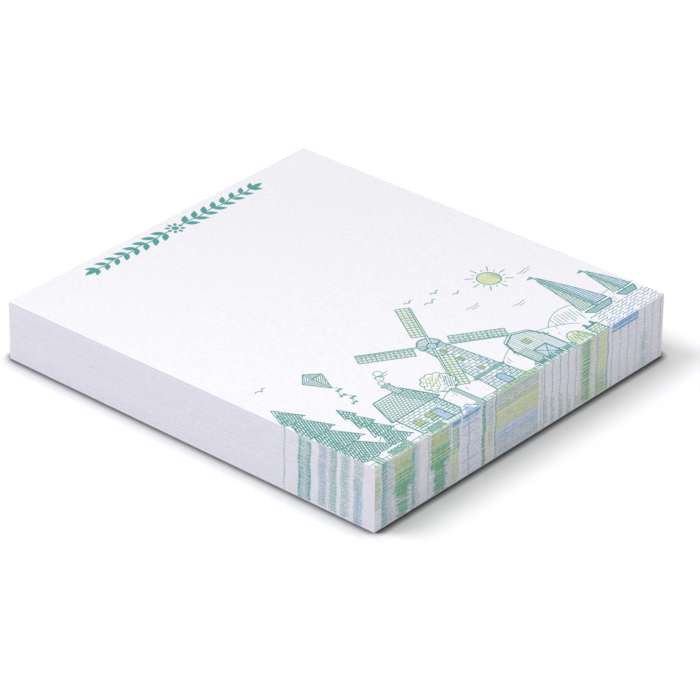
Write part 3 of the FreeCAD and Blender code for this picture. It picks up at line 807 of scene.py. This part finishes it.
def draw_artwork():
    """Nearest things first, because each hides what is drawn after it."""
    draw_hedge(4.6)
    draw_hedge(13.2)
    draw_brook()
    draw_fence()
    draw_pine(2.2, 5.2, 22.6, 1.2)
    draw_pine(8.9, 2.7, 15.4, 0.7)
    draw_cottage()
    draw_round_tree()
    draw_windmill()
    draw_barn()
    draw_haystack()
    draw_quay()
    draw_boat(60.2, 6.6, 13.2)
    draw_boat(67.2, 4.4, 8.6)
    draw_water()
    draw_meadow()
    draw_hills()
    draw_sun()
    draw_kite()
    draw_birds()
    draw_breeze()
    draw_grass()


def art_place(u, v, height):
    """A place of the artwork on the uppermost note, in the row frame."""
    x = block_low.x + min(max(u, 0), ARTWORK_WIDTH) * MM * ART_SCALE
    y = block_low.y + min(max(v, 0), ARTWORK_LENGTH) * MM * ART_SCALE
    return (x, y, share_height(y, 1.0) + height)


def add_art(piece, shapes, ink):
    for shape in shapes:
        height = INK_HEIGHTS[ink] + INK_UNEVENNESS * rng.random()
        lower = [art_place(u, v, -INK_SUNK) for u, v in shape]
        upper = [art_place(u, v, height) for u, v in shape]
        piece.add_prism(lower, upper)


def leaf_shape(u, v, angle, length, width):
    """A pointed leaf that starts at (u, v)."""
    along_u, along_v = math.cos(angle), math.sin(angle)
    steps = 8
    lower, upper = [], []
    for step in range(steps + 1):
        share = step / steps
        half = width / 2 * math.sin(math.pi * share ** 0.85)
        middle_u, middle_v = u + along_u * length * share, v + along_v * length * share
        lower.append((middle_u + along_v * half, middle_v - along_u * half))
        upper.append((middle_u - along_v * half, middle_v + along_u * half))
    return lower + upper[-2:0:-1]


def garland_shapes(
    length=42.0, margin=3.2, leaf_length=2.55, leaf_width=1.1, lean=42.0, pairs_each_way=8
):
    """A garland of leaves across the head of the note, growing both ways from a flower of beads."""
    middle, stem = ARTWORK_WIDTH / 2, ARTWORK_LENGTH - margin
    half = length / 2
    tilt = math.radians(lean)
    shapes = []
    first, last = 2.3, half - leaf_length * 1.15
    stem_start, stem_steps, stem_width, stem_swing = 1.5, 40, 0.22, 0.16
    run = half - stem_start - leaf_length * 0.8
    for way in (-1, 1):
        stem_places = []
        for step in range(stem_steps + 1):
            u = middle + way * (stem_start + run * step / stem_steps)
            stem_places.append((u, stem + stem_swing * math.sin(step * 0.5)))
        shapes += [pen_line(a, b, stem_width) for a, b in zip(stem_places, stem_places[1:])]
        for pair in range(pairs_each_way):
            share = pair / (pairs_each_way - 1)
            foot = middle + way * (first + (last - first) * share)
            shrink = 1.0 - 0.18 * share
            size = (leaf_length * shrink, leaf_width * shrink)
            for side in (-1, 1):
                angle = tilt * side if way > 0 else math.pi - tilt * side
                shapes.append(leaf_shape(foot, stem + 0.05 * side, angle, *size))
        tip, tip_angle = middle + way * (half - leaf_length), 0.0 if way > 0 else math.pi
        shapes.append(leaf_shape(tip, stem, tip_angle, leaf_length, leaf_width * 0.9))
    shapes.append(arc(middle, stem, 0.62, steps=20))
    petals = 8
    for petal in range(petals):
        turn = 2 * math.pi * petal / petals
        shapes.append(leaf_shape(*polar(middle, stem, 0.8, turn), turn, 0.95, 0.62))
    return shapes


# The stack of notes

def sheet_edges():
    """How far each note's four sides lie back from the block's own."""
    edges = []
    next_line = BUNDLE
    for number in range(NOTE_COUNT):
        offsets = [rng.gauss(SHEET_SLACK / 2, SHEET_WANDER / 2) for _ in range(4)]
        sides = [min(max(offset, 0), SHEET_SLACK) for offset in offsets]
        if number + 1 >= next_line:
            sides = [side + BUNDLE_STEP for side in sides]
            next_line += BUNDLE
        edges.append(sides)
    return edges


def lifted(corners, share):
    """Corners of an outline seen from above, at a share of the stack's height."""
    return [(x, y, share_height(y, share)) for x, y in corners]


def sheet_ring(back, extra, share):
    """Corners of a note's outline, at a share of the stack's height."""
    left, right = block_low.x + back[0] + extra, block_high.x - back[1] - extra
    low, high = block_low.y + back[2] + extra, block_high.y - back[3] - extra
    return lifted(rectangle(left, low, right, high), share)


def make_note_stack(edges, paper, edge_paper):
    piece = MeshPiece()
    clearance = SHEET_GAP / NOTE_COUNT
    for number, back in enumerate(edges):
        low, high = number / NOTE_COUNT, (number + 1) / NOTE_COUNT
        rings = [
            sheet_ring(back, SHEET_BEVEL, low + clearance),
            sheet_ring(back, 0, low + (high - low) * SHEET_ROUNDING),
            sheet_ring(back, 0, low + (high - low) * (1 - SHEET_ROUNDING)),
            sheet_ring(back, SHEET_BEVEL, high - clearance * (number < NOTE_COUNT - 1)),
        ]
        places = [corner for ring in rings for corner in ring]
        faces = [(3, 2, 1, 0), (12, 13, 14, 15)]
        for ring in range(3):
            for side in range(4):
                a, b = ring * 4 + side, ring * 4 + (side + 1) % 4
                faces.append((a, b, b + 4, a + 4))
        piece.add(places, faces)
    stack = piece.build("note_stack", paper, "note_paper", ["note_block"])
    stack.data.materials.append(edge_paper)
    flat = 0.9
    for face in stack.data.polygons:
        face.material_index = 0 if abs(face.normal.z) > flat else 1


def make_side_ink(edges):
    """The print on each note's cut edge: thin strips, taller where the print is stronger."""
    column, levels = 0.26, 5
    # Notes lie off each other sideways, each by its own slip and all in a slow wave
    note_slip, stack_lean, lean_wave, note_wave = 0.035, 0.09, 0.13, 1.1
    weakest, strongest, speckle = 0.6, 1.35, 0.1
    lateral = []
    for number in range(NOTE_COUNT):
        lateral.append(note_slip * rng.gauss(0, 1) + stack_lean * math.sin(number * lean_wave))
    pieces = {ink: MeshPiece() for ink in INK_HEIGHTS}
    for side, ink, start, end, low, high, strength, whisker in edge_marks:
        columns = max(1, round((end - start) / column))
        width = (end - start) / columns
        broad = columns > 2
        weights = [strength] * columns
        if broad:
            weights = [strength * rng.uniform(weakest, strongest) for _ in range(columns)]
        ragged = min(0.03, (high - low) / 8)
        phase = rng.uniform(0, 2 * math.pi)
        unevenness = 0.36 if broad and side == "front" else 0.18
        for number in range(NOTE_COUNT):
            share = (number + 0.5) / NOTE_COUNT
            if not low + ragged * rng.gauss(0, 1) <= share <= high + ragged * rng.gauss(0, 1):
                continue
            amount = 1 + unevenness * (math.sin(note_wave * number + phase) + rng.gauss(0, 1))
            covers = [weight * amount + speckle * rng.gauss(0, 1) for weight in weights]
            covers = [round(min(1, cover) * levels) for cover in covers]
            position = 0
            while position < columns:
                run = position + 1
                while run < columns and covers[run] == covers[position]:
                    run += 1
                if covers[position] > 0:
                    a = start + position * width + lateral[number]
                    b = start + run * width + lateral[number]
                    if whisker:
                        a -= whisker * rng.expovariate(2) * (position == 0)
                        b += whisker * rng.expovariate(2) * (run == columns)
                    cover = covers[position] / levels
                    add_edge_strip(pieces[ink], side, ink, number, edges[number], a, b, cover)
                position = run
    return pieces


def add_edge_strip(piece, side, ink, number, back, a, b, cover):
    """A strip of ink from a to b along one cut edge of a note, on a share of the edge's height."""
    proud = INK_HEIGHTS[ink] / 3 + INK_UNEVENNESS * rng.random() / 2
    strip_top, full_cover, margin = 0.98, 0.94, 0.05
    low = (number + strip_top - full_cover * cover) / NOTE_COUNT
    high = (number + strip_top) / NOTE_COUNT
    a, b = max(a, margin), min(b, ARTWORK_WIDTH - margin)
    if b - a < SHORTEST:
        return
    if side == "front":
        first, last = block_low.x + a * MM * ART_SCALE, block_low.x + b * MM * ART_SCALE
        face = block_low.y + back[2]
        corners = rectangle(first, face - proud, last, face + INK_SUNK)
    else:
        first, last = block_low.y + a * MM * ART_SCALE, block_low.y + b * MM * ART_SCALE
        inner, outer = block_low.x + back[0] + INK_SUNK, block_low.x + back[0] - proud
        if side == "right":
            inner, outer = block_high.x - back[1] - INK_SUNK, block_high.x - back[1] + proud
        corners = rectangle(min(inner, outer), first, max(inner, outer), last)
    piece.add_prism(lifted(corners, low), lifted(corners, high))


# Materials

# Painted light falloff on the paper: brighter in this direction and greyer away from it, between
# these two distances
PAINTED_LIGHT_SIDE = (-0.6, -0.8, 0)     # direction in which the paper gets brighter
PAINTED_SHADE_END, PAINTED_LIGHT_END = -34 * MM, 22 * MM


def feed(tree, socket, source):
    """Gives an input another node's output, or a value of its own."""
    if isinstance(source, bpy.types.NodeSocket):
        tree.links.new(source, socket)
    else:
        socket.default_value = source


def add_node(tree, kind, output, inputs=(), **settings):
    """Adds a node with its settings and then its inputs, and returns one of its outputs."""
    node = tree.nodes.new(f"ShaderNode{kind}")
    for name, value in settings.items():
        setattr(node, name, value)
    for name, source in dict(inputs).items():
        feed(tree, node.inputs[name], source)
    return node.outputs[output]


def new_material(name, roughness, specular=0.3):
    material = bpy.data.materials.new(name)
    material.use_nodes = True
    shader = material.node_tree.nodes["Principled BSDF"]
    shader.inputs["Roughness"].default_value = roughness
    shader.inputs["Specular IOR Level"].default_value = specular
    return material, material.node_tree, shader


def noise(tree, scale, detail, roughness):
    place = add_node(tree, "TexCoord", "Object")
    inputs = {"Vector": place, "Scale": scale, "Detail": detail, "Roughness": roughness}
    return add_node(tree, "TexNoise", "Fac", inputs)


def add_bump(tree, shader, height, strength, distance=0.02 * MM):
    """Fine relief in a surface."""
    inputs = {"Strength": strength, "Distance": distance, "Height": height}
    feed(tree, shader.inputs["Normal"], add_node(tree, "Bump", "Normal", inputs))


def mapped(tree, source, low, high, to_low=0.0, to_high=1.0, curve="LINEAR"):
    """What a value from low to high becomes on a scale from to_low to to_high."""
    scale = {"From Min": low, "From Max": high, "To Min": to_low, "To Max": to_high}
    inputs = {"Value": source, **scale}
    return add_node(tree, "MapRange", "Result", inputs, interpolation_type=curve)


def ramp(tree, source, low_place, low_colour, high_place, high_colour):
    colours = tree.nodes.new("ShaderNodeValToRGB")
    low, high = colours.color_ramp.elements
    low.position, low.color = low_place, (*low_colour, 1)
    high.position, high.color = high_place, (*high_colour, 1)
    feed(tree, colours.inputs["Fac"], source)
    return colours.outputs["Color"]


def mixed(tree, factor, first, second, blend="MIX"):
    """A mix of two colours."""
    inputs = {"Factor": factor, "A": first, "B": second}
    return add_node(tree, "Mix", "Result", inputs, data_type="RGBA", blend_type=blend)


def maths(tree, operation, first, second):
    return add_node(tree, "Math", "Value", {0: first, 1: second}, operation=operation)


def paper_material(name, colour, contrast, bump_strength):
    """Uncoated paper: faint cloudy tone and fibres. It is a little greyer towards the far right:
    painted shade for the light's falloff.
    """
    material, tree, shader = new_material(name, 0.88)
    dark = tuple(channel * (1 - contrast) for channel in colour)
    cloudy = ramp(tree, noise(tree, 1700, 5, 0.7), 0.32, dark, 0.62, colour)
    inputs = {0: add_node(tree, "TexCoord", "Object"), 1: PAINTED_LIGHT_SIDE}
    towards = add_node(tree, "VectorMath", "Value", inputs, operation="DOT_PRODUCT")
    share = mapped(tree, towards, PAINTED_SHADE_END, PAINTED_LIGHT_END)
    # Painted shade: the tone greys from white away from the lit side
    tone = ramp(tree, share, 0.0, (0.92, 0.925, 0.92), 1.0, (1, 1, 1))
    feed(tree, shader.inputs["Base Color"], mixed(tree, 1.0, cloudy, tone, "MULTIPLY"))
    add_bump(tree, shader, noise(tree, 4200, 6, 0.7), bump_strength)
    return material


def edge_paper_material(name, colour):
    """Cut edges: each note a slightly different tone, with the knife's fine marks."""
    material, tree, shader = new_material(name, 0.92, 0.15)
    dark = tuple(channel * 0.94 for channel in colour)
    each = add_node(tree, "NewGeometry", "Random Per Island")
    tone = ramp(tree, each, 0.0, dark, 1.0, colour)
    marks = noise(tree, 2600, 4, 0.7)
    marks_tone = ramp(tree, marks, 0.3, (0.93, 0.93, 0.94), 0.65, (1, 1, 1))
    feed(tree, shader.inputs["Base Color"], mixed(tree, 1.0, tone, marks_tone, "MULTIPLY"))
    add_bump(tree, shader, marks, 0.25)
    return material


def ink_material(name, colour, paper, share_of_paper):
    """Ink that sinks into paper: its cover varies, and the paper shows through in specks."""
    material, tree, shader = new_material(name, 0.75)
    pale = tuple(c + (p - c) * share_of_paper for c, p in zip(colour, paper))
    specks = noise(tree, 5200, 4, 0.75)
    feed(tree, shader.inputs["Base Color"], ramp(tree, specks, 0.38, colour, 0.66, pale))
    add_bump(tree, shader, specks, 0.15, 0.01 * MM)
    return material


PAPER = (0.886, 0.877, 0.896)
EDGE_PAPER = (0.750, 0.748, 0.820)
# The backing sheet is far darker than its own pale paper: painted shade for the dark line where the
# pad meets the floor
BACKING_PAINTED_SHADE = (0.42, 0.42, 0.44)
EDGE_INKS = {
    "teal": (0.02, 0.36, 0.33),
    "green": (0.085, 0.38, 0.17),
    "yellow": (0.56, 0.64, 0.25),
    "blue": (0.11, 0.35, 0.65),
}
INKS = {
    "teal": (0.018, 0.275, 0.25),
    "green": (0.07, 0.34, 0.15),
    "yellow": (0.54, 0.62, 0.24),
    "blue": (0.11, 0.31, 0.58),
}

note_paper = paper_material("note_paper", PAPER, 0.075, 0.35)
edge_paper = edge_paper_material("note_edge_paper", EDGE_PAPER)
backing_paper = paper_material("backing_paper", BACKING_PAINTED_SHADE, 0.05, 0.3)
top_inks = {ink: ink_material(f"{ink}_ink", colour, PAPER, 0.14) for ink, colour in INKS.items()}
side_inks = {
    ink: ink_material(f"{ink}_edge_ink", colour, EDGE_PAPER, 0.15)
    for ink, colour in EDGE_INKS.items()
}

draw_artwork()
edges = sheet_edges()
make_note_stack(edges, note_paper, edge_paper)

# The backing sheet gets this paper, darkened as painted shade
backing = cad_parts["backing_sheet"]
backing.data.materials.clear()
backing.data.materials.append(backing_paper)

garland = MeshPiece()
add_art(garland, garland_shapes(), "teal")
garland.build("garland", top_inks["teal"], "teal_ink", ["top_print_teal"])
for ink, shapes in quads.items():
    art = MeshPiece()
    add_art(art, shapes, ink)
    art.build(f"country_scene_{ink}", top_inks[ink], f"{ink}_ink", [f"top_print_{ink}"])

side_nodes = {
    "teal": ["front_print_teal", "left_print_teal"],
    "green": ["front_print_green"],
    "yellow": ["front_print_yellow"],
    "blue": ["front_print_blue", "right_print_blue"],
}
for ink, piece in make_side_ink(edges).items():
    piece.build(f"edge_print_{ink}", side_inks[ink], f"{ink}_ink", side_nodes[ink])


# Floor, light and camera

FLOOR_COLOUR = (0.995, 0.98, 0.975)
WHITE = (1, 1, 1, 1)
# Shadows where the floor meets the pad: reach, strength at the left side, strength elsewhere
PAINTED_CONTACT_SHADOWS = ((1.6 * MM, 1.1, 3.9), (4.0 * MM, 0.9, 0.65))
STUDIO_LIGHT = 0.755
KEY_DIRECTION = (-0.58, 0.60, 1.38)
KEY_DISTANCE, KEY_SIZE, KEY_POWER = 0.7, 0.28, 1.98
KEY_COLOUR = (1.0, 1.0, 1.07)


def looking_rays(tree):
    """Two switches that are 1 or 0: for rays that come from the camera, and for those that show
    a background, be it directly or by way of a mirror or glass."""
    ray = tree.nodes.new("ShaderNodeLightPath").outputs
    bent = maths(tree, "MAXIMUM", ray["Is Glossy Ray"], ray["Is Transmission Ray"])
    return ray["Is Camera Ray"], maths(tree, "MAXIMUM", ray["Is Camera Ray"], bent)


def make_floor(half=3.0, near=0.24, far=0.36):
    """A pale floor. Seen from the camera it darkens where it meets the pad, a painted contact
    shadow, and beyond near to far it is plain white.
    """
    mesh = bpy.data.meshes.new("floor")
    corners = [(x, y, 0) for x, y in rectangle(-half, -half, half, half)]
    mesh.from_pydata(corners, [], [(0, 1, 2, 3)])
    floor = new_object("floor", mesh)
    material, tree, shader = new_material("floor", 1.0, 0.0)
    camera_ray, looking = looking_rays(tree)

    # Painted contact shadow: ambient occlusion darkens the colour that the camera sees
    place = add_node(tree, "TexCoord", "Object")
    across = add_node(tree, "SeparateXYZ", "X", {"Vector": place})
    depth = 1.0
    left_side = (block_low.x - MM, block_low.x + MM)
    for reach, *powers in PAINTED_CONTACT_SHADOWS:
        power = mapped(tree, across, *left_side, *powers)
        open_sky = add_node(tree, "AmbientOcclusion", "AO", {"Distance": reach}, samples=16)
        depth = maths(tree, "MULTIPLY", maths(tree, "POWER", open_sky, power), depth)
    shaded = ramp(tree, depth, 0.0, (0, 0, 0), 1.0, FLOOR_COLOUR)
    feed(tree, shader.inputs["Base Color"], mixed(tree, camera_ray, (*FLOOR_COLOUR, 1), shaded))

    distance = add_node(tree, "VectorMath", "Value", {0: place}, operation="LENGTH")
    fade = mapped(tree, distance, near, far, curve="SMOOTHSTEP")
    white = add_node(tree, "Emission", "Emission", {"Color": WHITE, "Strength": 1.0})
    inputs = {"Fac": maths(tree, "MULTIPLY", fade, looking), 1: shader.outputs["BSDF"], 2: white}
    blend = add_node(tree, "MixShader", "Shader", inputs)
    feed(tree, tree.nodes["Material Output"].inputs["Surface"], blend)
    mesh.materials.append(material)


def make_world(strength):
    """A plain white studio. It lights at the given strength and is seen as white."""
    world = bpy.data.worlds.new("studio")
    world.use_nodes = True
    tree = world.node_tree
    _, looking = looking_rays(tree)
    back = tree.nodes["Background"].inputs
    back["Color"].default_value = WHITE
    extra = maths(tree, "MULTIPLY", looking, 1.0 - strength)
    feed(tree, back["Strength"], maths(tree, "ADD", extra, strength))
    bpy.context.scene.world = world


def make_key_light():
    light = bpy.data.lights.new("key", "AREA")
    light.shape = "DISK"
    light.size = KEY_SIZE
    light.energy = KEY_POWER
    light.color = KEY_COLOUR
    lamp = new_object("key", light)
    place = Vector(KEY_DIRECTION).normalized() * KEY_DISTANCE
    lamp.location = place
    lamp.rotation_euler = (-place).to_track_quat("-Z", "Y").to_euler()


def make_camera():
    ch, sh = math.cos(CAMERA_HEADING), math.sin(CAMERA_HEADING)
    ct, st = math.cos(CAMERA_TILT), math.sin(CAMERA_TILT)
    ahead = Vector((ch * ct, sh * ct, -st))
    level_right = Vector((sh, -ch, 0))
    level_up = level_right.cross(ahead)
    right = level_right * math.cos(CAMERA_ROLL) + level_up * math.sin(CAMERA_ROLL)
    up = level_up * math.cos(CAMERA_ROLL) - level_right * math.sin(CAMERA_ROLL)
    camera = bpy.data.cameras.new("camera")
    camera.lens = CAMERA_LENS
    camera.sensor_width = CAMERA_SENSOR
    camera.clip_start = 0.05
    holder = new_object("camera", camera)
    turned = Matrix((right, up, -ahead)).transposed().to_4x4()
    holder.matrix_world = Matrix.Translation(CAMERA_PLACE) @ turned
    bpy.context.scene.camera = holder


make_floor()
make_world(STUDIO_LIGHT)
make_key_light()
make_camera()
bpy.context.scene.view_settings.view_transform = "Standard"
